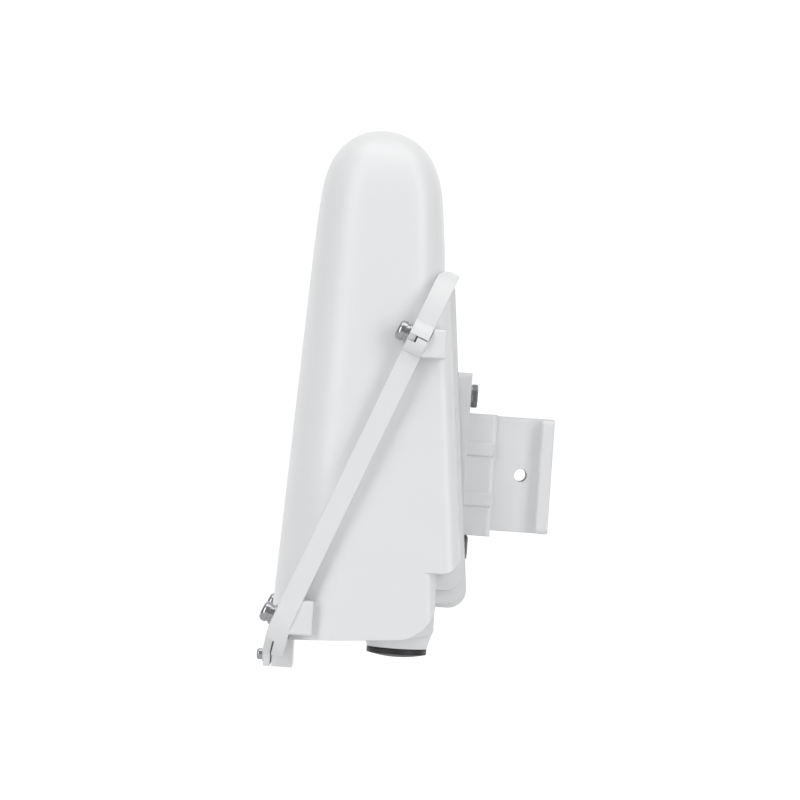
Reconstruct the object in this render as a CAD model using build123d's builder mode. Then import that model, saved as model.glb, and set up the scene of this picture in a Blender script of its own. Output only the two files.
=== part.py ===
from build123d import *

import math
import os

# Upright directional antenna in a two-shell weatherproof housing, carried on a wall bracket.
# Units are millimetres. The origin is the centre of the wall plate's rear face.
# +X points at the wall, +Z is up, and the housing stands at negative X.

os.makedirs("parts", exist_ok=True)

# ---- housing form -------------------------------------------------------------------------
BASE_Z = -100.0            # the form starts here and the bottom plane trims it
SHOULDER_Z = 100.0         # flat-sided below, one smooth surface with a quicker taper above
DOME_Z = 122.0             # the dome's curve takes over
APEX_Z = 166.8
FRONT_X = -125.65          # front and rear faces at the shoulder
REAR_X = -59.65
FRONT_SLOPE = 0.0445       # growth in depth per millimetre downwards
REAR_SLOPE = 0.0393
HALF_WIDTH = 36.0          # at the shoulder
WIDTH_SLOPE = 0.063
CROWN_EASE = 15.0          # how gently the quicker taper of the crown sets in
CROWN_DEPTH = 0.055
CROWN_WIDTH = 0.029
CROWN_LEAN = 0.0294        # the crown sits slightly forward
DOME_POWER = 3.4
FRONT_CORNER = 0.88        # corner radii as a share of the half depth
REAR_CORNER = 0.58
HEEL_CORNER = 2.6          # rear corner radius at the bottom, in millimetres
WALL = 2.5
BOTTOM_FRONT = (-134.3, -88.6)
BOTTOM_REAR = (-56.4, -83.1)
FLOOR = 3.0
HEEL_CENTRE = (-73.0, -64.0)
HEEL_R = 20.5
HEEL_BLOCK_HALF = 24.0

# ---- diagonal split between the front radome and the rear housing -------------------------
SPLIT_X = -93.0
SPLIT_Z = 9.8
SPLIT_LEAN = 21.8          # degrees from vertical
SEAL_GAP = 0.8
FRONT_PLATE = 4.05
REAR_PLATE = 6.0
FLANGE_TOP = 95.6          # along the split, from the split point
FLANGE_LOW = -116.0
FLANGE_HALF_TOP = 44.0
FLANGE_HALF_LOW = 52.0
FLANGE_END_Z = -96.0
TOE_BEND_Z = -81.0         # the flange stands a little steeper below this height
CROWN_ROUND = ((90.4, -4.4), (93.6, -2.2), (95.8, 1.2))   # rounding over the hood's front edge
LIP = 2.6
LIP_CLEAR = 0.3
HOOD_U = 59.3              # the hood covers the joint above this, the lip below LIP_U
LIP_U = 56.0
LIP_LOW_U = -105.5
UPPER_SCREW = (58.7, 44.5)
LOWER_SCREW = (-93.9, 44.5)
EAR_R = 8.5
SCREW_R = 2.5
INSERT_R = 3.3
INSERT_DEEP = 8.0
BOSSES = ((-56.7, 54.7, 68.8), (-112.4, -84.7, -67.8))   # rear face, low and high edges
BOSS_INNER_Y = 28.0
BOSS_OUTER_Y = 50.4
BOSS_EDGE_R = 1.2
WASHER_T = 1.0
SPRING_T = 1.5
HEAD_R = 5.0
HEAD_H = 3.9

# ---- foot, heel block and rear pad --------------------------------------------------------
FOOT_FRONT = -136.0
FOOT_REAR = -121.6
FOOT_SPLIT = -132.3
FOOT_LOW = -102.9
FOOT_HALF = 17.0
FOOT_SCREW_Z = -98.2
FOOT_SEAT = -137.0         # the small screw's head sits on a round spot face
FOOT_SEAT_R = 3.6
FOOT_HEAD_R = 2.8
FOOT_HEAD_H = 2.9
PAD_TIP = (-37.15, -67.6)
PAD_SLOPE = 0.1066
PAD_STEPS = ((0.0, 0.0, 24.0), (0.4, 2.0, 27.5), (1.35, 8.8, 31.0))   # inset, rise, half width
PAD_BELLY = (2.4, 17.2)    # inset and rise of the widest step, flush with the housing's sides
PAD_CORNER = 9.0
BELLY_CORNER = 9.0
BELLY_FRONT = -98.0
SEAT_X = -49.5             # bracket seat on the pad
SEAT_LOW = -50.5

# ---- cable port ---------------------------------------------------------------------------
PORT_X = -70.4
PORT_BORE = 13.0
COLLAR_END = -90.1
WELL_ROOF = -66.0
CAP_R = 15.0
CAP_TOP = -90.4
CAP_RIM = 2.6
CAP_LOW = -95.0
SPIGOT_TOP = -81.0
SPIGOT_R = PORT_BORE - 0.05
SPIGOT_BORE = 9.5
RING_LOW = -86.4
RING_TALL = 2.1
GROOVE_R = 10.85

# ---- wall bracket -------------------------------------------------------------------------
PLATE_T = 6.0
PLATE_HALF_Y = 21.0
PLATE_HALF_Z = 28.2
PLATE_EDGE_R = 1.3
PLATE_CORNER = 2.5
BASE_REAR = -42.3
BASE_HALF_Y = 19.5
BASE_HALF_Z = 49.0
NECK_HALF_Y = 17.0
NECK_REAR = -28.3
NECK_CORNER_R = 2.4
ARM_TOP = 29.1
ARM_LOW = -31.3
CHEEK_OUTER_Y = 14.5       # two cheeks join the neck to the wall plate
CHEEK_INNER_Y = 10.0
CHEEK_LOW = -28.2
CHEEK_TOP = 28.6
RIB_HALF_Y = 18.0
RIB_Z = (11.7, -13.2)
RIB_TALL = 7.0
CROSS_HOLE_X = -15.0
CROSS_HOLE_R = 3.2
FIXING_Z = 18.0
FIXING_R = 3.3
BOLT_Y = 11.0
BOLT_Z = 37.7
BOLT_FLANGE_R = 5.6
BOLT_FLANGE_T = 0.8
BOLT_HEX = 5.0             # half of the width across flats
BOLT_HEX_T = 2.6
BOLT_INSERT_R = 4.2
BOLT_INSERT_DEEP = 7.0

# ---- antenna array ------------------------------------------------------------------------
BOOM_X = -93.0
BOOM = 10.0
BOOM_LOW = -74.0
BOOM_TOP = 143.0
ELEMENT_R = 2.0
REFLECTOR = (-34.0, 61.0)                  # height, length
DRIVEN_Z = -10.0
DRIVEN_LENGTH = 58.0
LOOP_HALF = 9.0
DIRECTORS = ((8.0, 52.0), (30.0, 51.0), (54.0, 50.0), (79.0, 49.0), (104.0, 48.0), (129.0, 47.0))
CLIP_T = 1.6
COAX_R = 1.3

lean = math.radians(SPLIT_LEAN)
SPLIT = Plane(
    origin=(SPLIT_X, 0, SPLIT_Z),
    x_dir=(math.sin(lean), 0, math.cos(lean)),
    z_dir=(math.cos(lean), 0, -math.sin(lean)),
)


def split_xz(along, behind):
    """X and Z of the point this far up the split and this far behind it."""
    return (
        SPLIT_X + along * math.sin(lean) + behind * math.cos(lean),
        SPLIT_Z + along * math.cos(lean) - behind * math.sin(lean),
    )


def bottom_z(x):
    """Height of the housing's sloping bottom at x."""
    rise = (BOTTOM_REAR[1] - BOTTOM_FRONT[1]) / (BOTTOM_REAR[0] - BOTTOM_FRONT[0])
    return BOTTOM_FRONT[1] + rise * (x - BOTTOM_FRONT[0])


def section_at(z):
    """Centre, half depth and half width of the housing at height z."""
    drop = SHOULDER_Z - z
    centre = (FRONT_X + REAR_X + (REAR_SLOPE - FRONT_SLOPE) * drop) / 2
    depth = (REAR_X - FRONT_X + (REAR_SLOPE + FRONT_SLOPE) * drop) / 2
    width = HALF_WIDTH + WIDTH_SLOPE * drop
    if drop < 0:
        bend = drop**2 / (CROWN_EASE - drop)
        centre -= CROWN_LEAN * bend
        depth -= CROWN_DEPTH * bend
        width -= CROWN_WIDTH * bend
    return centre, depth, width


def draw_section(z, centre, half_x, half_y, front_r, rear_r):
    """A face at height z: a rectangle with one radius at the front corners, one at the rear."""
    with BuildSketch(Plane.XY.offset(z)) as section:
        with Locations((centre, 0)):
            Rectangle(2 * half_x, 2 * half_y)
        fillet(section.vertices().group_by(Axis.X)[0], front_r)
        fillet(section.vertices().group_by(Axis.X)[-1], rear_r)
    return section.sketch


def housing_form(inset, floor):
    """The whole housing as one smooth solid, drawn in by inset all round and by floor below."""
    with BuildPart() as form:
        for z, rear_r in ((BASE_Z, HEEL_CORNER), (SHOULDER_Z, REAR_CORNER * section_at(SHOULDER_Z)[1])):
            centre, depth, width = section_at(z)
            front_r = FRONT_CORNER * depth - inset
            rear_r = max(rear_r - inset, 0.8)
            add(draw_section(z, centre, depth - inset, width - inset, front_r, rear_r))
        loft(ruled=True)
        rings = [(z, 1.0) for z in (SHOULDER_Z, 107, 114.5)]
        for share in (0, 0.16, 0.32, 0.46, 0.58, 0.69, 0.78, 0.86, 0.92, 0.96, 0.985, 0.997, 0.9997):
            rings.append((DOME_Z + share * (APEX_Z - inset - DOME_Z), math.sqrt(1 - share**DOME_POWER)))
        for z, shrink in rings:
            centre, depth, width = section_at(z)
            front_r = ((FRONT_CORNER + 0.04 * (1 - shrink)) * depth - inset) * shrink
            rear_r = ((REAR_CORNER + 0.32 * (1 - shrink)) * depth - inset) * shrink
            half_x = (depth - inset) * shrink
            half_y = (width - inset) * shrink
            add(draw_section(z, centre, half_x, half_y, front_r, rear_r))
        loft()
        with BuildSketch(Plane.XZ):
            with BuildLine():
                Polyline(
                    (-160, bottom_z(-160) + floor),
                    (-30, bottom_z(-30) + floor),
                    (-30, BASE_Z - 20),
                    (-160, BASE_Z - 20),
                    close=True,
                )
            make_face()
        extrude(amount=80, both=True, mode=Mode.SUBTRACT)
        with BuildSketch(Plane.XZ):
            with Locations((HEEL_CENTRE[0] + 30, HEEL_CENTRE[1] - 30)):
                Rectangle(60, 60)
            with Locations(HEEL_CENTRE):
                Circle(HEEL_R - inset, mode=Mode.SUBTRACT)
        extrude(amount=80, both=True, mode=Mode.SUBTRACT)
    return form.part


def side_slab(points):
    """A prism across the whole width with the given outline in the side view."""
    with BuildPart() as slab:
        with BuildSketch(Plane.XZ):
            with BuildLine():
                Polyline(*points, close=True)
            make_face()
        extrude(amount=80, both=True)
    return slab.part


def flange_prism(inset):
    """The flange outline, drawn in by inset, as a prism square to the split."""
    with BuildPart() as prism:
        with BuildSketch(SPLIT):
            with BuildLine():
                Polyline(
                    (FLANGE_LOW + inset, inset - FLANGE_HALF_LOW),
                    (FLANGE_TOP - inset, inset - FLANGE_HALF_TOP),
                    (FLANGE_TOP - inset, FLANGE_HALF_TOP - inset),
                    (FLANGE_LOW + inset, FLANGE_HALF_LOW - inset),
                    close=True,
                )
            face = make_face()
            fillet(face.vertices().group_by(Axis.Z)[-1], 24 - inset)
            fillet(face.vertices().group_by(Axis.Z)[0], 16 - inset)
            with Locations((UPPER_SCREW[0], UPPER_SCREW[1]), (UPPER_SCREW[0], -UPPER_SCREW[1])):
                Circle(EAR_R - inset)
        extrude(amount=30, both=True)
    return prism.part


def joint_line(shift):
    """The split in the side view, moved back by shift, from above the top down to the toe."""
    steep = shift / math.cos(lean)
    top = split_xz(FLANGE_TOP + 40, shift)
    bend_along = (TOE_BEND_Z - SPLIT_Z + shift * math.sin(lean)) / math.cos(lean)
    bend = split_xz(bend_along, shift)
    return [top, bend, (FOOT_SPLIT + steep, FLANGE_END_Z)]


def band(front_shift, rear_shift, low_u=None, high_u=None):
    """The strip of the side view between two lines parallel to the split, cut off at u values."""
    outline = joint_line(front_shift) + joint_line(rear_shift)[::-1]
    strip = side_slab(outline)
    with BuildPart() as cut:
        add(strip)
        if high_u is not None:
            corners = [split_xz(high_u, -40), split_xz(high_u, 60), split_xz(300, 60), split_xz(300, -40)]
            add(side_slab(corners), mode=Mode.SUBTRACT)
        if low_u is not None:
            corners = [split_xz(low_u, -40), split_xz(low_u, 60), split_xz(-300, 60), split_xz(-300, -40)]
            add(side_slab(corners), mode=Mode.SUBTRACT)
    return cut.part


def both_sides(point):
    """A place on the split and its mirror image across the middle."""
    return (point[0], point[1]), (point[0], -point[1])


SCREWS = both_sides(UPPER_SCREW) + both_sides(LOWER_SCREW)
GAP = SEAL_GAP / 2
outer_form = housing_form(0, 0)
inner_form = housing_form(WALL, FLOOR)
outer_prism = flange_prism(0)
inner_prism = flange_prism(LIP)
lip_bore = flange_prism(LIP - LIP_CLEAR)

# ---- front radome: dome, flange plate, rain hood and the foot's front plate ----------------
front_half = side_slab(joint_line(-GAP) + [(FOOT_SPLIT, -140), (-180, -140), (-180, 200), (0, 200)])
hood_band = band(-FRONT_PLATE, REAR_PLATE, low_u=HOOD_U)

with BuildPart() as hood:
    add(outer_prism)
    add(hood_band, mode=Mode.INTERSECT)
    add(lip_bore, mode=Mode.SUBTRACT)

with BuildPart() as hood_bridge:
    add(outer_prism)
    add(band(-FRONT_PLATE, -GAP, low_u=HOOD_U), mode=Mode.INTERSECT)

with BuildPart() as front_plate:
    add(inner_prism)
    add(band(-FRONT_PLATE, -GAP), mode=Mode.INTERSECT)

with BuildPart() as crown_waste:
    with BuildSketch(Plane.XZ):
        with BuildLine():
            arc = ThreePointArc(*[split_xz(u, behind) for u, behind in CROWN_ROUND])
            Polyline(arc @ 1, split_xz(112, CROWN_ROUND[2][1]), split_xz(112, -12), arc @ 0)
        make_face()
    extrude(amount=48, both=True)
    add(outer_form, mode=Mode.SUBTRACT)

with BuildPart() as radome:
    add(outer_form)
    add(front_half, mode=Mode.INTERSECT)
    add(front_plate.part)
    add(hood_bridge.part)
    add(hood.part)
    add(crown_waste.part, mode=Mode.SUBTRACT)
    with BuildSketch(Plane.XZ):
        with BuildLine():
            Polyline(
                (FOOT_FRONT, FOOT_LOW),
                (FOOT_SPLIT - GAP, FOOT_LOW),
                (FOOT_SPLIT - GAP, FLANGE_END_Z + 3),
                (FOOT_FRONT, FLANGE_END_Z + 3),
                close=True,
            )
        make_face()
    extrude(amount=FOOT_HALF, both=True)
    add(inner_form, mode=Mode.SUBTRACT)
    with Locations(SPLIT):
        with Locations(*SCREWS):
            Cylinder(2.75, 40, mode=Mode.SUBTRACT)
    with BuildSketch(Plane.YZ.offset(FOOT_SEAT)):
        with Locations((0, FOOT_SCREW_Z)):
            Circle(FOOT_SEAT_R)
    extrude(amount=2)
    with BuildSketch(Plane.YZ.offset(FOOT_SEAT)):
        with Locations((0, FOOT_SCREW_Z)):
            Circle(FOOT_SEAT_R)
    extrude(amount=-4, mode=Mode.SUBTRACT)
    with Locations((FOOT_FRONT, 0, FOOT_SCREW_Z)):
        Cylinder(1.75, 12, rotation=(0, 90, 0), mode=Mode.SUBTRACT)
radome.part.label = "radome"
export_step(radome.part, "parts/radome.step")

# ---- rear housing -------------------------------------------------------------------------
rear_half = side_slab(joint_line(GAP) + [(FOOT_SPLIT + GAP, -140), (20, -140), (20, 240)])

with BuildPart() as rear_plate:
    add(inner_prism)
    add(band(GAP, REAR_PLATE), mode=Mode.INTERSECT)

with BuildPart() as rear_rim:
    add(outer_prism)
    add(band(GAP, REAR_PLATE, high_u=HOOD_U - 0.5), mode=Mode.INTERSECT)

with BuildPart() as lip_ring:
    add(outer_prism)
    add(band(-FRONT_PLATE, REAR_PLATE, low_u=LIP_LOW_U, high_u=LIP_U), mode=Mode.INTERSECT)
    add(lip_bore, mode=Mode.SUBTRACT)

with BuildPart() as hood_room:
    add(band(-40, REAR_PLATE + LIP_CLEAR, low_u=HOOD_U - 0.5))
    add(inner_prism, mode=Mode.SUBTRACT)


def pad_outline(inset, rise, front_x, crest):
    """One step of the rear pad in the side view, its lower rear corner left square."""
    low = PAD_TIP[1] + rise
    edge_low = PAD_TIP[0] - inset - PAD_SLOPE * rise
    top = split_xz(89.2, REAR_PLATE + 0.4)
    return [(front_x, low), (edge_low, low), (top[0] - inset, top[1]), crest]


def pad_step(inset, rise, front_x, crest, half_width):
    """One step of the rear pad as a solid of the given half width, up to a crest on the split."""
    with BuildPart() as step:
        with BuildSketch(Plane.XZ) as outline:
            with BuildLine():
                Polyline(*pad_outline(inset, rise, front_x, crest), close=True)
            make_face()
            fillet(outline.vertices().sort_by(Axis.X)[-1], PAD_CORNER)
        extrude(amount=half_width, both=True)
    return step.part


# the widest step of the pad follows the housing's own sides
with BuildPart() as belly:
    for z in (-80, 95):
        reach = PAD_TIP[0] - PAD_BELLY[0] - PAD_SLOPE * (z - PAD_TIP[1]) + 100
        add(draw_section(z, reach / 2 - 100, reach / 2, section_at(z)[2], BELLY_CORNER, BELLY_CORNER))
    loft(ruled=True)
    add(pad_step(*PAD_BELLY, BELLY_FRONT, split_xz(30, -20), 60), mode=Mode.INTERSECT)
    add(rear_half, mode=Mode.INTERSECT)

with BuildPart() as bosses:
    for boss_rear, boss_low, boss_high in BOSSES:
        for side in (1, -1):
            with BuildSketch(Plane.XZ.offset(-side * BOSS_INNER_Y)):
                with Locations((boss_rear - 13, (boss_low + boss_high) / 2)):
                    Rectangle(26, boss_high - boss_low)
            extrude(amount=-side * (BOSS_OUTER_Y - BOSS_INNER_Y))
    fillet(bosses.faces().sort_by(Axis.Y)[-2:].edges(), BOSS_EDGE_R)
    fillet(bosses.faces().sort_by(Axis.Y)[:2].edges(), BOSS_EDGE_R)
    add(band(REAR_PLATE - 0.1, 60), mode=Mode.INTERSECT)
    add(hood_room.part, mode=Mode.SUBTRACT)

with BuildPart() as foot_tab:
    with BuildSketch(Plane.XZ) as foot_sketch:
        with BuildLine():
            Polyline(
                (FOOT_SPLIT + GAP, FOOT_LOW),
                (FOOT_REAR, FOOT_LOW),
                (FOOT_REAR - 0.4, -85.5),
                (FOOT_SPLIT + GAP, -85.5),
                close=True,
            )
        make_face()
        fillet(foot_sketch.vertices().sort_by(Axis.X)[-2:].sort_by(Axis.Z)[0], 2.8)
    extrude(amount=FOOT_HALF, both=True)
    add(rear_half, mode=Mode.INTERSECT)

with BuildPart() as rear_housing:
    add(outer_form)
    add(rear_half, mode=Mode.INTERSECT)
    add(rear_plate.part)
    add(rear_rim.part)
    add(lip_ring.part)
    # stepped rear pad: nested outlines, the deepest one in the middle
    add(belly.part)
    for inset, rise, half_width in PAD_STEPS:
        add(pad_step(inset, rise, -66.0, split_xz(56, REAR_PLATE + 0.4), half_width))
    # heel block, squarer than the rounded heel at both sides of it
    with BuildSketch(Plane.XZ) as heel_sketch:
        with BuildLine():
            Polyline((-80, -60), (-52.9, -60), (-53.0, bottom_z(-53)), (-80, bottom_z(-80)), close=True)
        make_face()
        fillet(heel_sketch.vertices().sort_by(Axis.X)[-2:].sort_by(Axis.Z)[0], 4.5)
    extrude(amount=HEEL_BLOCK_HALF, both=True)
    add(bosses.part)
    add(foot_tab.part)
    # port collar outside
    with Locations((PORT_X, 0, 0)):
        with Locations((0, 0, (COLLAR_END - 80) / 2)):
            Cone(15.0, 18.0, -80 - COLLAR_END)
    add(inner_form, mode=Mode.SUBTRACT)
    # port well standing on the floor inside
    with BuildSketch(Plane.XY.offset(-84)):
        with Locations((PORT_X, 0)):
            Circle(PORT_BORE + 2.2)
    extrude(amount=84 + WELL_ROOF + 3)
    with BuildSketch(Plane.XY.offset(COLLAR_END - 1)):
        with Locations((PORT_X, 0)):
            Circle(PORT_BORE)
    extrude(amount=WELL_ROOF - COLLAR_END + 1, mode=Mode.SUBTRACT)
    with Locations((PORT_X, 0, WELL_ROOF)):
        Cylinder(3.25, 12, mode=Mode.SUBTRACT)
    # boom socket on the floor
    with BuildSketch(Plane.XY.offset(-84)):
        with Locations((BOOM_X, 0)):
            Rectangle(BOOM + 5, BOOM + 5)
    extrude(amount=24)
    with BuildSketch(Plane.XY.offset(BOOM_LOW)):
        with Locations((BOOM_X, 0)):
            Rectangle(BOOM, BOOM)
    extrude(amount=20, mode=Mode.SUBTRACT)
    # bracket seat: a vertical channel between the fins, open at the top
    with BuildSketch(Plane.XZ) as seat_sketch:
        with BuildLine():
            Polyline((SEAT_X, SEAT_LOW), (-30, SEAT_LOW), (-30, 95), (SEAT_X, 95), close=True)
        make_face()
    extrude(amount=BASE_HALF_Y + 1, both=True, mode=Mode.SUBTRACT)
    with Locations(SPLIT):
        with Locations(*[Location((u, v, GAP + INSERT_DEEP / 2)) for u, v in SCREWS]):
            Cylinder(INSERT_R, INSERT_DEEP, mode=Mode.SUBTRACT)
    with Locations((FOOT_SPLIT + GAP + 4, 0, FOOT_SCREW_Z)):
        Cylinder(2.2, 8, rotation=(0, 90, 0), mode=Mode.SUBTRACT)
    for z in (BOLT_Z, -BOLT_Z):
        insert_x = SEAT_X - BOLT_INSERT_DEEP / 2
        with Locations((insert_x, BOLT_Y, z), (insert_x, -BOLT_Y, z)):
            Cylinder(BOLT_INSERT_R, BOLT_INSERT_DEEP, rotation=(0, 90, 0), mode=Mode.SUBTRACT)
    add(hood_room.part, mode=Mode.SUBTRACT)
rear_housing.part.label = "rear_housing"
export_step(rear_housing.part, "parts/rear_housing.step")

# ---- seal and fasteners of the housing ----------------------------------------------------
with BuildPart() as flange_gasket:
    add(flange_prism(LIP + 1.0))
    add(band(-GAP, GAP, low_u=-111), mode=Mode.INTERSECT)
    add(inner_form, mode=Mode.SUBTRACT)
    with Locations(SPLIT):
        with Locations(*SCREWS):
            Cylinder(2.75, 10, mode=Mode.SUBTRACT)
flange_gasket.part.label = "flange_gasket"
export_step(flange_gasket.part, "parts/flange_gasket.step")


def on_split(spots, behind):
    """Locations on the split plane for each spot, moved back by behind."""
    return [SPLIT.location * Location((u, v, behind)) for u, v in spots]


washer_face = -FRONT_PLATE - WASHER_T
spring_face = washer_face - SPRING_T

with BuildPart() as flat_washers:
    with Locations(*on_split(SCREWS, washer_face + WASHER_T / 2)):
        Cylinder(5.1, WASHER_T)
        Cylinder(2.7, WASHER_T, mode=Mode.SUBTRACT)
flat_washers.part.label = "flat_washers"
export_step(flat_washers.part, "parts/flat_washers.step")

with BuildPart() as spring_washers:
    with Locations(*on_split(SCREWS, spring_face + SPRING_T / 2)):
        Cylinder(4.4, SPRING_T)
        Cylinder(2.65, SPRING_T, mode=Mode.SUBTRACT)
    with Locations(*on_split([(u - 3.5, v) for u, v in SCREWS], spring_face + SPRING_T / 2)):
        Box(2.6, 0.8, SPRING_T + 1, rotation=(24, 0, 0), mode=Mode.SUBTRACT)
spring_washers.part.label = "spring_washers"
export_step(spring_washers.part, "parts/spring_washers.step")

with BuildPart() as flange_screws:
    for place in on_split(SCREWS, spring_face):
        with BuildSketch(Plane(place)):
            Circle(SCREW_R)
        extrude(amount=-spring_face + GAP + INSERT_DEEP - 2)
        with BuildSketch(Plane(place)):
            Circle(HEAD_R)
        extrude(amount=-HEAD_H)
    rims = flange_screws.edges().filter_by(GeomType.CIRCLE)
    crowns = rims.filter_by(lambda e: abs(e.radius - HEAD_R) < 0.01)
    fillet([e for e in crowns if SPLIT.to_local_coords(e.center()).Z < spring_face - 1], 2.4)
    with Locations(*on_split(SCREWS, spring_face - HEAD_H)):
        Box(5.2, 1.0, 3.6, mode=Mode.SUBTRACT)
        Box(1.0, 5.2, 3.6, mode=Mode.SUBTRACT)
flange_screws.part.label = "flange_screws"
export_step(flange_screws.part, "parts/flange_screws.step")

with BuildPart() as flange_inserts:
    with Locations(*on_split(SCREWS, GAP + INSERT_DEEP / 2)):
        Cylinder(INSERT_R, INSERT_DEEP)
        Cylinder(SCREW_R, INSERT_DEEP, mode=Mode.SUBTRACT)
flange_inserts.part.label = "flange_inserts"
export_step(flange_inserts.part, "parts/flange_inserts.step")

with BuildPart() as foot_screw:
    with BuildSketch(Plane.YZ.offset(FOOT_SEAT)):
        with Locations((0, FOOT_SCREW_Z)):
            Circle(FOOT_HEAD_R)
    extrude(amount=-FOOT_HEAD_H)
    fillet(foot_screw.edges().sort_by(Axis.X)[0], 1.2)
    with BuildSketch(Plane.YZ.offset(FOOT_SEAT)):
        with Locations((0, FOOT_SCREW_Z)):
            Circle(1.5)
    extrude(amount=10.5)
    with Locations((FOOT_SEAT - FOOT_HEAD_H, 0, FOOT_SCREW_Z)):
        Box(2.0, 3.0, 0.7, mode=Mode.SUBTRACT)
        Box(2.0, 0.7, 3.0, mode=Mode.SUBTRACT)
foot_screw.part.label = "foot_screw"
export_step(foot_screw.part, "parts/foot_screw.step")

with BuildPart() as foot_insert:
    with BuildSketch(Plane.YZ.offset(FOOT_SPLIT + GAP)):
        with Locations((0, FOOT_SCREW_Z)):
            Circle(2.2)
            Circle(1.5, mode=Mode.SUBTRACT)
    extrude(amount=7)
foot_insert.part.label = "foot_insert"
export_step(foot_insert.part, "parts/foot_insert.step")

# ---- cable port: cap, its ring, connector -------------------------------------------------
port_axis = Axis((PORT_X, 0, 0), (0, 0, 1))
port_plane = Plane(origin=(PORT_X, 0, 0), x_dir=(1, 0, 0), z_dir=(0, -1, 0))
dome_drop = CAP_TOP - CAP_RIM - CAP_LOW
dome_radius = (CAP_R**2 + dome_drop**2) / (2 * dome_drop)

with BuildPart() as port_cap:
    with BuildSketch(port_plane):
        with BuildLine():
            Polyline(
                (0, CAP_TOP - 1.6),
                (SPIGOT_BORE, CAP_TOP - 1.6),
                (SPIGOT_BORE, SPIGOT_TOP),
                (SPIGOT_R - 0.6, SPIGOT_TOP),
                (SPIGOT_R, SPIGOT_TOP - 0.6),
                (SPIGOT_R, RING_LOW + RING_TALL),
                (GROOVE_R, RING_LOW + RING_TALL),
                (GROOVE_R, RING_LOW),
                (SPIGOT_R, RING_LOW),
                (SPIGOT_R, CAP_TOP),
                (CAP_R, CAP_TOP),
                (CAP_R, CAP_TOP - CAP_RIM),
            )
            ThreePointArc(
                (CAP_R, CAP_TOP - CAP_RIM),
                (CAP_R / 2, CAP_LOW + dome_radius - math.sqrt(dome_radius**2 - CAP_R**2 / 4)),
                (0, CAP_LOW),
            )
            Line((0, CAP_LOW), (0, CAP_TOP - 1.6))
        make_face()
    revolve(axis=port_axis)
    with Locations((PORT_X + CAP_R, 0, CAP_TOP - CAP_RIM), (PORT_X - CAP_R, 0, CAP_TOP - CAP_RIM)):
        Box(1.4, 3.0, 1.6, mode=Mode.SUBTRACT)
port_cap.part.label = "port_cap"
export_step(port_cap.part, "parts/port_cap.step")

with BuildPart() as cap_ring:
    with BuildSketch(port_plane):
        with Locations(((GROOVE_R + 0.05 + SPIGOT_R) / 2, RING_LOW + RING_TALL / 2)):
            RectangleRounded(SPIGOT_R - GROOVE_R - 0.05, RING_TALL - 0.1, 0.7)
    revolve(axis=port_axis)
cap_ring.part.label = "cap_ring"
export_step(cap_ring.part, "parts/cap_ring.step")

with BuildPart() as rf_connector:
    for low, tall, radius in ((-79.0, 16.0, 3.2), (WELL_ROOF + 3, 3.5, 4.6), (WELL_ROOF + 6.5, 5.0, 2.2)):
        with BuildSketch(Plane.XY.offset(low)):
            with Locations((PORT_X, 0)):
                Circle(radius)
        extrude(amount=tall)
    with Locations((PORT_X, 0, -76.0)):
        Cylinder(2.3, 6.0, mode=Mode.SUBTRACT)
    with Locations((PORT_X, 0, -75.5)):
        Cylinder(0.45, 5.0)
rf_connector.part.label = "rf_connector"
export_step(rf_connector.part, "parts/rf_connector.step")

with BuildPart() as connector_nut:
    with BuildSketch(Plane.XY.offset(WELL_ROOF - 2.2)):
        with Locations((PORT_X, 0)):
            RegularPolygon(4.0, 6, major_radius=False)
            Circle(3.2, mode=Mode.SUBTRACT)
    extrude(amount=2.2)
connector_nut.part.label = "connector_nut"
export_step(connector_nut.part, "parts/connector_nut.step")

# ---- wall bracket and its bolts -----------------------------------------------------------
with BuildPart() as neck:
    with BuildSketch(Plane.XY.offset(ARM_LOW)):
        with Locations(((BASE_REAR - 1 + NECK_REAR) / 2, 0)):
            Rectangle(NECK_REAR - BASE_REAR + 1, 2 * NECK_HALF_Y)
    extrude(amount=ARM_TOP - ARM_LOW)
    fillet(neck.faces().sort_by(Axis.X)[-1].edges().filter_by(Axis.Z), NECK_CORNER_R)

with BuildPart() as ribs:
    for z in RIB_Z:
        with BuildSketch(Plane.YZ.offset(BASE_REAR - 1)):
            with Locations((0, z)):
                Rectangle(2 * RIB_HALF_Y, RIB_TALL)
        extrude(amount=NECK_REAR - BASE_REAR + 0.2)
    fillet(ribs.edges().filter_by(Axis.X), 0.9)

with BuildPart() as wall_plate:
    with BuildSketch(Plane.YZ.offset(-PLATE_T)):
        RectangleRounded(2 * PLATE_HALF_Y, 2 * PLATE_HALF_Z, PLATE_CORNER)
    extrude(amount=PLATE_T)
    fillet(wall_plate.faces().sort_by(Axis.X)[0].edges(), PLATE_EDGE_R)

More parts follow.
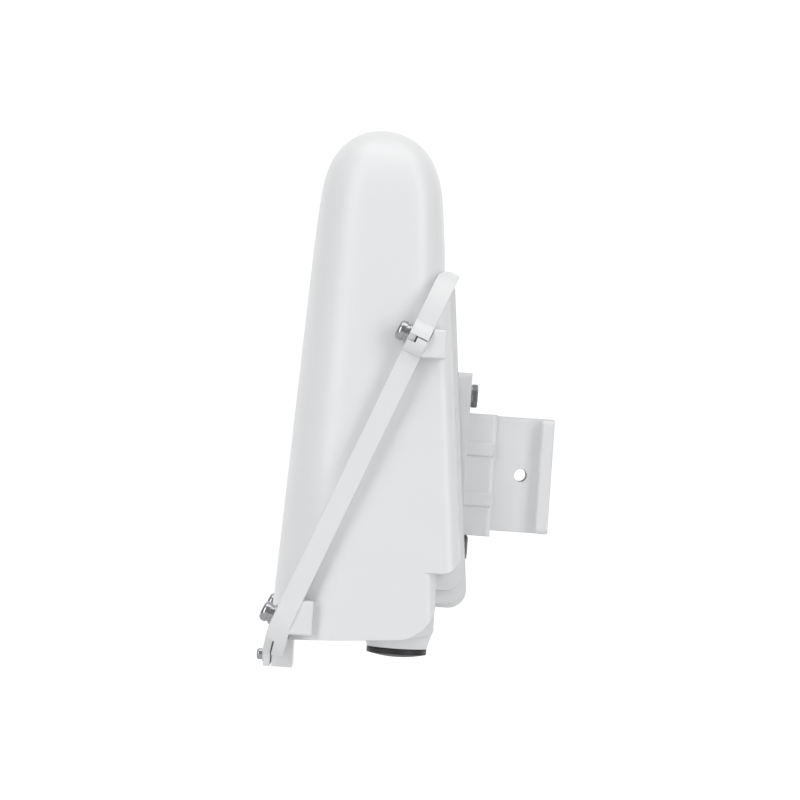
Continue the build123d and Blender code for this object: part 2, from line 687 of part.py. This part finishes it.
with BuildPart() as wall_bracket:
    add(neck.part)
    add(ribs.part)
    with BuildSketch(Plane.XY.offset(CHEEK_LOW)):
        with Locations(((NECK_REAR - PLATE_T / 2) / 2, 0)):
            Rectangle(-PLATE_T / 2 - NECK_REAR + 6, 2 * CHEEK_OUTER_Y)
            Rectangle(-PLATE_T / 2 - NECK_REAR + 6, 2 * CHEEK_INNER_Y, mode=Mode.SUBTRACT)
    extrude(amount=CHEEK_TOP - CHEEK_LOW)
    add(wall_plate.part)
    with BuildSketch(Plane.YZ.offset(SEAT_X)):
        RectangleRounded(2 * BASE_HALF_Y, 2 * BASE_HALF_Z, 3)
    extrude(amount=BASE_REAR - SEAT_X)
    with Locations((CROSS_HOLE_X, 0, 0)):
        Cylinder(CROSS_HOLE_R, 3 * CHEEK_OUTER_Y, rotation=(90, 0, 0), mode=Mode.SUBTRACT)
    with Locations(Plane.YZ):
        with Locations((0, FIXING_Z), (0, -FIXING_Z)):
            Cylinder(FIXING_R, 3 * PLATE_T, mode=Mode.SUBTRACT)
    with Locations(Plane.YZ.offset(SEAT_X)):
        with GridLocations(2 * BOLT_Y, 2 * BOLT_Z, 2, 2):
            Cylinder(3.0, 20, mode=Mode.SUBTRACT)
wall_bracket.part.label = "wall_bracket"
export_step(wall_bracket.part, "parts/wall_bracket.step")

with BuildPart() as bracket_bolts:
    for y in (BOLT_Y, -BOLT_Y):
        for z in (BOLT_Z, -BOLT_Z):
            for start, length, radius in (
                (BASE_REAR, BOLT_FLANGE_T, BOLT_FLANGE_R),
                (SEAT_X - BOLT_INSERT_DEEP + 1, BASE_REAR - SEAT_X + BOLT_INSERT_DEEP - 1, 3.0),
            ):
                with BuildSketch(Plane.YZ.offset(start)):
                    with Locations((y, z)):
                        Circle(radius)
                extrude(amount=length)
            with BuildSketch(Plane.YZ.offset(BASE_REAR + BOLT_FLANGE_T)):
                with Locations((y, z)):
                    RegularPolygon(BOLT_HEX, 6, major_radius=False, rotation=30)
            extrude(amount=BOLT_HEX_T)
    chamfer(bracket_bolts.faces().sort_by(Axis.X)[-4:].edges(), 0.5)
bracket_bolts.part.label = "bracket_bolts"
export_step(bracket_bolts.part, "parts/bracket_bolts.step")

with BuildPart() as bracket_inserts:
    with Locations(Plane.YZ.offset(SEAT_X - BOLT_INSERT_DEEP / 2)):
        with GridLocations(2 * BOLT_Y, 2 * BOLT_Z, 2, 2):
            Cylinder(BOLT_INSERT_R, BOLT_INSERT_DEEP)
            Cylinder(3.0, BOLT_INSERT_DEEP, mode=Mode.SUBTRACT)
bracket_inserts.part.label = "bracket_inserts"
export_step(bracket_inserts.part, "parts/bracket_inserts.step")

# ---- antenna array inside the housing -----------------------------------------------------
element_heights = [REFLECTOR[0]] + [z for z, length in DIRECTORS]

with BuildPart() as boom:
    with BuildSketch(Plane.XY.offset(BOOM_LOW)):
        with Locations((BOOM_X, 0)):
            Rectangle(BOOM, BOOM)
            Rectangle(BOOM - 2.4, BOOM - 2.4, mode=Mode.SUBTRACT)
    extrude(amount=BOOM_TOP - BOOM_LOW)
    with Locations(*[(BOOM_X, 0, z) for z in element_heights]):
        Cylinder(ELEMENT_R, BOOM + 2, rotation=(90, 0, 0), mode=Mode.SUBTRACT)
boom.part.label = "boom"
export_step(boom.part, "parts/boom.step")

with BuildPart() as boom_cap:
    with BuildSketch(Plane.XY.offset(BOOM_TOP)):
        with Locations((BOOM_X, 0)):
            Rectangle(BOOM, BOOM)
    extrude(amount=1.5)
    with BuildSketch(Plane.XY.offset(BOOM_TOP)):
        with Locations((BOOM_X, 0)):
            Rectangle(BOOM - 2.4, BOOM - 2.4)
    extrude(amount=-5)
boom_cap.part.label = "boom_cap"
export_step(boom_cap.part, "parts/boom_cap.step")


def write_element(name, z, length):
    """One straight element: a rod across the boom with lightly rounded ends."""
    with BuildPart() as rod:
        with Locations((BOOM_X, 0, z)):
            Cylinder(ELEMENT_R, length, rotation=(90, 0, 0))
        fillet(rod.edges().filter_by(GeomType.CIRCLE), 0.6)
    rod.part.label = name
    export_step(rod.part, "parts/" + name + ".step")


write_element("reflector", *REFLECTOR)
for number, (z, length) in enumerate(DIRECTORS, start=1):
    write_element("director_" + str(number), z, length)

with BuildPart() as element_clips:
    for z in element_heights:
        for side in (1, -1):
            with Locations((BOOM_X, side * (BOOM / 2 + CLIP_T / 2), z)):
                Cylinder(ELEMENT_R + 2.0, CLIP_T, rotation=(90, 0, 0))
                Cylinder(ELEMENT_R, CLIP_T, rotation=(90, 0, 0), mode=Mode.SUBTRACT)
element_clips.part.label = "element_clips"
export_step(element_clips.part, "parts/element_clips.step")

with BuildPart() as driven_element:
    straight = DRIVEN_LENGTH / 2 - LOOP_HALF - ELEMENT_R
    with BuildLine() as loop_path:
        Line((BOOM_X + LOOP_HALF, 2.5, DRIVEN_Z), (BOOM_X + LOOP_HALF, straight, DRIVEN_Z))
        ThreePointArc(
            (BOOM_X + LOOP_HALF, straight, DRIVEN_Z),
            (BOOM_X, straight + LOOP_HALF, DRIVEN_Z),
            (BOOM_X - LOOP_HALF, straight, DRIVEN_Z),
        )
        Line((BOOM_X - LOOP_HALF, straight, DRIVEN_Z), (BOOM_X - LOOP_HALF, -straight, DRIVEN_Z))
        ThreePointArc(
            (BOOM_X - LOOP_HALF, -straight, DRIVEN_Z),
            (BOOM_X, -straight - LOOP_HALF, DRIVEN_Z),
            (BOOM_X + LOOP_HALF, -straight, DRIVEN_Z),
        )
        Line((BOOM_X + LOOP_HALF, -straight, DRIVEN_Z), (BOOM_X + LOOP_HALF, -2.5, DRIVEN_Z))
    with BuildSketch(Plane(origin=(BOOM_X + LOOP_HALF, 2.5, DRIVEN_Z), z_dir=(0, 1, 0))):
        Circle(ELEMENT_R - 0.3)
    sweep(path=loop_path.line)
driven_element.part.label = "driven_element"
export_step(driven_element.part, "parts/driven_element.step")

with BuildPart() as dipole_clip:
    with Locations((BOOM_X - BOOM / 2 - 4.0, 0, DRIVEN_Z)):
        Box(8.0, 8.0, 8.0)
    with Locations((BOOM_X - LOOP_HALF, 0, DRIVEN_Z)):
        Cylinder(ELEMENT_R - 0.3, 10, rotation=(90, 0, 0), mode=Mode.SUBTRACT)
dipole_clip.part.label = "dipole_clip"
export_step(dipole_clip.part, "parts/dipole_clip.step")

BOARD_X = BOOM_X + BOOM / 2
with BuildPart() as feed_board:
    with Locations((BOARD_X + 0.8, 0, DRIVEN_Z - 6)):
        Box(1.6, 22, 30)
feed_board.part.label = "feed_board"
export_step(feed_board.part, "parts/feed_board.step")

with BuildPart() as balun_can:
    with Locations((BOARD_X + 1.6 + 1.5, 0, DRIVEN_Z - 12)):
        Box(3.0, 12, 10)
    fillet(balun_can.edges().filter_by(Axis.X), 1.0)
balun_can.part.label = "balun_can"
export_step(balun_can.part, "parts/balun_can.step")

coax_x = BOARD_X + 1.6 + COAX_R
coax_points = (
    (coax_x, 0, DRIVEN_Z - 17.5),
    (coax_x, 0, DRIVEN_Z - 28),
    (PORT_X, 0, DRIVEN_Z - 36),
    (PORT_X, 0, WELL_ROOF + 11.5),
)
with BuildPart() as feed_coax:
    with BuildLine() as coax_path:
        FilletPolyline(*coax_points, radius=7.0)
    with BuildSketch(Plane(origin=coax_points[0], z_dir=(0, 0, -1))):
        Circle(COAX_R)
    sweep(path=coax_path.line)
feed_coax.part.label = "feed_coax"
export_step(feed_coax.part, "parts/feed_coax.step")
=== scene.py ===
import math

import bpy
from mathutils import Matrix, Vector


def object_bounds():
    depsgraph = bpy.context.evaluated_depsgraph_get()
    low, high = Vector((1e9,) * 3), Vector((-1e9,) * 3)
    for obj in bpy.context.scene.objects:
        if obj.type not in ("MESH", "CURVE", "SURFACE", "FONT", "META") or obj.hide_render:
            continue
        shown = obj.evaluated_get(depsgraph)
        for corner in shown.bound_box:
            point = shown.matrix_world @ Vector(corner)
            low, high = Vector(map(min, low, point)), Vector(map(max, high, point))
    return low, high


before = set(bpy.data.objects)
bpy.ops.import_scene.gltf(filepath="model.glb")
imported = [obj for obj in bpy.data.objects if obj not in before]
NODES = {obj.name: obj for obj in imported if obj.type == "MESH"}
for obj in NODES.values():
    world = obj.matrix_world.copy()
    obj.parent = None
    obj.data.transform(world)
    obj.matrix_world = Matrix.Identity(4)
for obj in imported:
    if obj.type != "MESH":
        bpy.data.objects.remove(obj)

CAD_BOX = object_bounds()
MM = 0.001

# ---- camera, the way the photograph looks at the object ------------------------------------
CAMERA_AIM = Vector((-77.3, 0.0, 33.2)) * MM
CAMERA_FAR = 2050 * MM
CAMERA_FIELD = 400 * MM
CAMERA_ROLL = math.radians(4)
SENSOR = 36.0
CLIP_END = 50

# ---- studio --------------------------------------------------------------------------------
FLOOR_DROP = 160 * MM
SWEEP_RADIUS = 0.9
SWEEP_BACK = 1.6
SWEEP_HALF = 4.0
SWEEP_STEPS = 12
FLOOR_NEAR = -6.0
BACKDROP_TOP = 4.0
GLOW_START = 0.35
GLOW_FULL = 0.85
GLOW_PEAK = 0.55
PALE = (0.74, 0.745, 0.75, 1)
WORLD_STRENGTH = 0.33
LIGHT_TARGET = (-0.08, 0, 0.03)
LIGHTS = (   # name, place, size, watts
    ("left_box", (-1.28, -1.15, 0.45), (0.75, 2.0), 13.0),
    ("right_box", (1.20, -1.20, 0.60), (0.70, 1.8), 13.0),
    ("top_box", (-0.1, -0.15, 1.75), (2.0, 1.4), 13.0),
)


def make_camera():
    """A long lens level with the object, rolled a few degrees as in the photograph."""
    data = bpy.data.cameras.new("camera")
    data.sensor_width = SENSOR
    data.lens = SENSOR * CAMERA_FAR / CAMERA_FIELD
    data.clip_end = CLIP_END
    camera = bpy.data.objects.new("camera", data)
    bpy.context.scene.collection.objects.link(camera)
    spot = Matrix.Translation(CAMERA_AIM + Vector((0, -CAMERA_FAR, 0)))
    level = Matrix.Rotation(math.radians(90), 4, "X")
    camera.matrix_world = spot @ level @ Matrix.Rotation(CAMERA_ROLL, 4, "Z")
    bpy.context.scene.camera = camera


def add_light(name, place, size, watts):
    """A white rectangular soft light at place, turned to face the object."""
    data = bpy.data.lights.new(name, "AREA")
    data.shape = "RECTANGLE"
    data.size, data.size_y = size
    data.energy = watts
    light = bpy.data.objects.new(name, data)
    bpy.context.scene.collection.objects.link(light)
    light.location = place
    aim = Vector(LIGHT_TARGET) - Vector(place)
    light.rotation_euler = aim.to_track_quat("-Z", "Y").to_euler()


def make_lights():
    """Two tall soft boxes either side of the camera and a broad one overhead."""
    for name, place, size, watts in LIGHTS:
        add_light(name, place, size, watts)


def make_world():
    """Even white light from all round, and plain tone mapping."""
    world = bpy.data.worlds.new("studio")
    world.use_nodes = True
    back = world.node_tree.nodes["Background"]
    back.inputs["Color"].default_value = (1, 1, 1, 1)
    back.inputs["Strength"].default_value = WORLD_STRENGTH
    bpy.context.scene.world = world
    bpy.context.scene.view_settings.view_transform = "Standard"


def make_floor():
    """A pale floor that curves up into a backdrop, which glows so that it renders white."""
    low = CAD_BOX[0][2] - FLOOR_DROP
    profile = [(FLOOR_NEAR, low), (SWEEP_BACK, low)]
    for step in range(1, SWEEP_STEPS + 1):
        turn = math.radians(90 * step / SWEEP_STEPS)
        back = SWEEP_BACK + SWEEP_RADIUS * math.sin(turn)
        profile.append((back, low + SWEEP_RADIUS * (1 - math.cos(turn))))
    profile.append((SWEEP_BACK + SWEEP_RADIUS, BACKDROP_TOP))
    mesh = bpy.data.meshes.new("backdrop")
    verts = [(x, y, z) for y, z in profile for x in (-SWEEP_HALF, SWEEP_HALF)]
    faces = [(2 * i, 2 * i + 1, 2 * i + 3, 2 * i + 2) for i in range(len(profile) - 1)]
    mesh.from_pydata(verts, [], faces)
    for polygon in mesh.polygons:
        polygon.use_smooth = True
    floor = bpy.data.objects.new("backdrop", mesh)
    bpy.context.scene.collection.objects.link(floor)
    material, shader, tree = new_material("backdrop_paper", PALE, 0.9)
    add_bump(tree, shader, noise(tree, 900, 3), 0.02, 0.0002)
    # only the floor and sweep behind the object glow; the floor in front of it doesn't
    spread = tree.nodes.new("ShaderNodeSeparateXYZ")
    tree.links.new(object_coords(tree), spread.inputs["Vector"])
    glow = tree.nodes.new("ShaderNodeMapRange")
    glow.inputs["From Min"].default_value = GLOW_START
    glow.inputs["From Max"].default_value = GLOW_FULL
    glow.inputs["To Min"].default_value = 0.0
    glow.inputs["To Max"].default_value = GLOW_PEAK
    tree.links.new(spread.outputs["Y"], glow.inputs["Value"])
    tree.links.new(glow.outputs["Result"], shader.inputs["Emission Strength"])
    shader.inputs["Emission Color"].default_value = (1, 1, 1, 1)
    mesh.materials.append(material)


# ---- materials -----------------------------------------------------------------------------
BEVEL_SAMPLES = 6
BOARD_GREEN = (0.02, 0.16, 0.06, 1)
TRACK_GREEN = (0.05, 0.28, 0.1, 1)


def new_material(name, colour, roughness, metallic=0.0):
    """A principled material and its shader and tree, with plain starting values."""
    material = bpy.data.materials.new(name)
    material.use_nodes = True
    tree = material.node_tree
    shader = tree.nodes["Principled BSDF"]
    shader.inputs["Base Color"].default_value = colour
    shader.inputs["Roughness"].default_value = roughness
    shader.inputs["Metallic"].default_value = metallic
    return material, shader, tree


def object_coords(tree, stretch=(1, 1, 1)):
    """Object coordinates, stretched along each axis."""
    coords = tree.nodes.new("ShaderNodeTexCoord")
    mapping = tree.nodes.new("ShaderNodeMapping")
    mapping.inputs["Scale"].default_value = stretch
    tree.links.new(coords.outputs["Object"], mapping.inputs["Vector"])
    return mapping.outputs["Vector"]


def noise(tree, scale, detail, stretch=(1, 1, 1)):
    """A noise texture's factor over object coordinates."""
    texture = tree.nodes.new("ShaderNodeTexNoise")
    texture.inputs["Scale"].default_value = scale
    texture.inputs["Detail"].default_value = detail
    texture.inputs["Roughness"].default_value = 0.5
    tree.links.new(object_coords(tree, stretch), texture.inputs["Vector"])
    return texture.outputs["Fac"]


def add_bump(tree, shader, height, strength, distance, under=None):
    """Bumps the shader by height, over an earlier bump if one is given."""
    bump = tree.nodes.new("ShaderNodeBump")
    bump.inputs["Strength"].default_value = strength
    bump.inputs["Distance"].default_value = distance
    tree.links.new(height, bump.inputs["Height"])
    if under:
        tree.links.new(under, bump.inputs["Normal"])
    tree.links.new(bump.outputs["Normal"], shader.inputs["Normal"])
    return bump.outputs["Normal"]


def vary(tree, shader, socket, fac, low, high):
    """Drives a shader socket between two values or colours by fac."""
    if isinstance(low, tuple):
        ramp = tree.nodes.new("ShaderNodeMix")
        ramp.data_type = "RGBA"
        ramp.inputs["A"].default_value = low
        ramp.inputs["B"].default_value = high
        tree.links.new(fac, ramp.inputs["Factor"])
        tree.links.new(ramp.outputs["Result"], shader.inputs[socket])
        return
    ramp = tree.nodes.new("ShaderNodeMapRange")
    ramp.inputs["From Min"].default_value = 0.3
    ramp.inputs["From Max"].default_value = 0.7
    ramp.inputs["To Min"].default_value = low
    ramp.inputs["To Max"].default_value = high
    tree.links.new(fac, ramp.inputs["Value"])
    tree.links.new(ramp.outputs["Result"], shader.inputs[socket])


def soft_edges(tree, radius):
    """A normal that rounds sharp edges by radius, as a mould or a tumbled casting does."""
    bevel = tree.nodes.new("ShaderNodeBevel")
    bevel.samples = BEVEL_SAMPLES
    bevel.inputs["Radius"].default_value = radius
    return bevel.outputs["Normal"]


def plastic(name, colour, roughness, grain=1.0, edge=0.7 * MM):
    """Moulded plastic: fine spark-eroded grain, slight flow variation in tone and gloss."""
    material, shader, tree = new_material(name, colour, roughness)
    tint = tuple(c * 0.972 for c in colour[:3]) + (1,)
    vary(tree, shader, "Base Color", noise(tree, 14, 4), tint, colour)
    vary(tree, shader, "Roughness", noise(tree, 60, 5), roughness - 0.05, roughness + 0.06)
    coarse = add_bump(tree, shader, noise(tree, 350, 2), 0.05 * grain, 0.0006, soft_edges(tree, edge))
    add_bump(tree, shader, noise(tree, 2600, 3), 0.10 * grain, 0.00012, coarse)
    shader.inputs["Specular IOR Level"].default_value = 0.45
    return material


def coated_metal(name, colour):
    """Powder coat over a casting: orange peel and a fine sparkle of roughness."""
    material, shader, tree = new_material(name, colour, 0.42)
    tint = tuple(c * 0.95 for c in colour[:3]) + (1,)
    vary(tree, shader, "Base Color", noise(tree, 45, 6), tint, colour)
    vary(tree, shader, "Roughness", noise(tree, 400, 3), 0.34, 0.5)
    peel = add_bump(tree, shader, noise(tree, 900, 2), 0.22, 0.0004, soft_edges(tree, 0.9 * MM))
    add_bump(tree, shader, noise(tree, 4200, 2), 0.12, 0.0001, peel)
    return material


def turned_metal(name, colour, roughness, stretch=(1, 1, 1)):
    """Bright turned or drawn metal with fine lines and slight tone changes."""
    material, shader, tree = new_material(name, colour, roughness, 1.0)
    tint = tuple(c * 0.82 for c in colour[:3]) + (1,)
    vary(tree, shader, "Base Color", noise(tree, 700, 5, stretch), tint, colour)
    vary(tree, shader, "Roughness", noise(tree, 1500, 4, stretch), roughness * 0.7, roughness * 1.4)
    add_bump(tree, shader, noise(tree, 2400, 3, stretch), 0.12, 0.00008, soft_edges(tree, 0.25 * MM))
    return material


def rubber(name, colour):
    """Matt rubber with a fine uneven surface."""
    material, shader, tree = new_material(name, colour, 0.7)
    tint = tuple(c * 1.5 for c in colour[:3]) + (1,)
    vary(tree, shader, "Base Color", noise(tree, 220, 5), colour, tint)
    vary(tree, shader, "Roughness", noise(tree, 500, 4), 0.6, 0.85)
    add_bump(tree, shader, noise(tree, 1800, 4), 0.25, 0.0002)
    return material


def circuit_board(name):
    """Green solder mask over faint tracks."""
    material, shader, tree = new_material(name, BOARD_GREEN, 0.35)
    tracks = tree.nodes.new("ShaderNodeTexBrick")
    tracks.inputs["Scale"].default_value = 220
    tree.links.new(object_coords(tree), tracks.inputs["Vector"])
    vary(tree, shader, "Base Color", tracks.outputs["Fac"], BOARD_GREEN, TRACK_GREEN)
    add_bump(tree, shader, tracks.outputs["Fac"], 0.2, 0.0001)
    return material


WHITE = (0.80, 0.805, 0.81, 1)
BRACKET_WHITE = (0.76, 0.765, 0.775, 1)
STEEL = (0.50, 0.50, 0.52, 1)
DARK_STEEL = (0.33, 0.33, 0.35, 1)
BRASS = (0.78, 0.57, 0.26, 1)
ALUMINIUM = (0.78, 0.79, 0.81, 1)


def paint(material, *names):
    """Puts one material on each named CAD node."""
    for name in names:
        slots = NODES[name].data.materials
        slots.clear()
        slots.append(material)


def paint_frame():
    """Gives every CAD node its material."""
    directors = [name for name in NODES if name.startswith("director_")]
    paint(plastic("white_housing", WHITE, 0.34), "radome", "rear_housing")
    paint(coated_metal("bracket_coat", BRACKET_WHITE), "wall_bracket")
    paint(plastic("black_cap", (0.022, 0.022, 0.024, 1), 0.42, 2.0), "port_cap")
    nylon = plastic("black_nylon", (0.03, 0.03, 0.03, 1), 0.5, 1.5)
    paint(nylon, "element_clips", "dipole_clip", "boom_cap")
    paint(rubber("grey_silicone", (0.16, 0.16, 0.165, 1)), "flange_gasket")
    paint(rubber("black_rubber", (0.018, 0.018, 0.018, 1)), "cap_ring", "feed_coax")
    paint(turned_metal("bright_steel", STEEL, 0.16), "flange_screws", "spring_washers", "flat_washers")
    paint(turned_metal("foot_steel", STEEL, 0.2), "foot_screw", "balun_can")
    paint(turned_metal("bolt_steel", DARK_STEEL, 0.28), "bracket_bolts")
    paint(turned_metal("brass", BRASS, 0.25), "flange_inserts", "foot_insert", "bracket_inserts")
    paint(turned_metal("gold_plate", BRASS, 0.2), "rf_connector", "connector_nut", "driven_element")
    paint(turned_metal("aluminium", ALUMINIUM, 0.3, (1, 1, 0.1)), "boom", "reflector", *directors)
    paint(circuit_board("circuit_board"), "feed_board")


make_camera()
make_world()
make_floor()
make_lights()
paint_frame()
